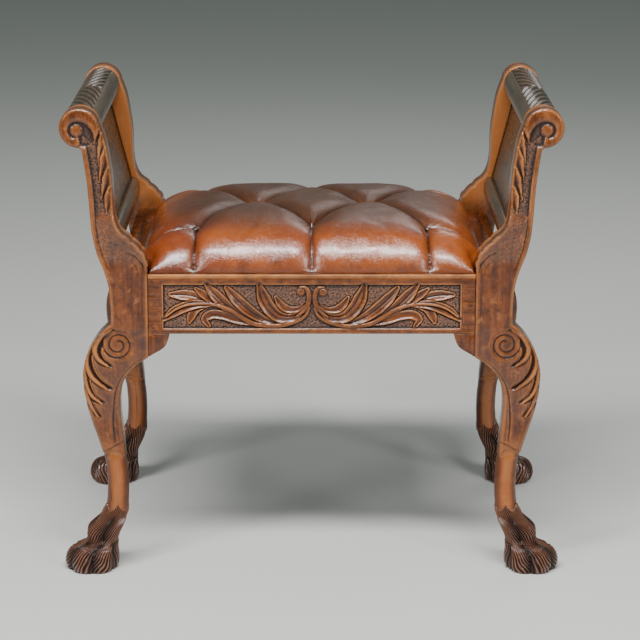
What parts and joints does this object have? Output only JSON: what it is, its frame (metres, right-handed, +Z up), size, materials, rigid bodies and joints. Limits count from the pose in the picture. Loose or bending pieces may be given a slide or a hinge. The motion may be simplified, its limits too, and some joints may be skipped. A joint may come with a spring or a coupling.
{
  "type": "window seat",
  "caption": "Carved window seat with scroll arms at both ends, S-shaped legs on paw feet and a deep-buttoned leather seat between them.",
  "frame": {"origin": "on the floor, under the middle of the seat", "axes": "+X to the right seen from the front, -Y to the front, +Z up"},
  "size_m": [0.6446, 0.4446, 0.608],
  "materials": {
    "frame_wood": "carved oak, stained brown, rubbed wax polish",
    "leg_wood": "smooth turned and carved oak, warm brown polish",
    "panel_wood": "polished end boards",
    "block_wood": "plain unfinished softwood",
    "seat_leather": "hand-dyed tan leather, glossy, darker in the tufts",
    "webbing": "woven jute webbing",
    "hessian_cloth": "plain-woven hessian",
    "dust_cloth": "black bottoming cloth",
    "steel": "dull steel screws and tacks"
  },
  "bodies": {
    "root": {"front_left_standard": "frame_wood", "front_right_standard": "frame_wood", "back_left_standard": "frame_wood", "back_right_standard": "frame_wood", "front_left_paw": "leg_wood", "front_right_paw": "leg_wood", "back_left_paw": "leg_wood", "back_right_paw": "leg_wood", "paw_dowels": "block_wood", "front_rail": "frame_wood", "back_rail": "frame_wood", "left_side_rail": "frame_wood", "right_side_rail": "frame_wood", "front_left_bracket": "frame_wood", "front_right_bracket": "frame_wood", "back_left_bracket": "frame_wood", "back_right_bracket": "frame_wood", "left_roll": "frame_wood", "right_roll": "frame_wood", "left_end_board": "panel_wood", "right_end_board": "panel_wood", "left_end_rail": "frame_wood", "right_end_rail": "frame_wood", "front_left_corner_block": "block_wood", "front_right_corner_block": "block_wood", "back_left_corner_block": "block_wood", "back_right_corner_block": "block_wood", "corner_block_screws": "steel", "cross_webbing": "webbing", "long_webbing": "webbing", "hessian": "hessian_cloth", "seat_cushion": "seat_leather", "buttons": "seat_leather", "dust_cover": "dust_cloth", "dust_cover_tacks": "steel"}
  },
  "joints": []
}
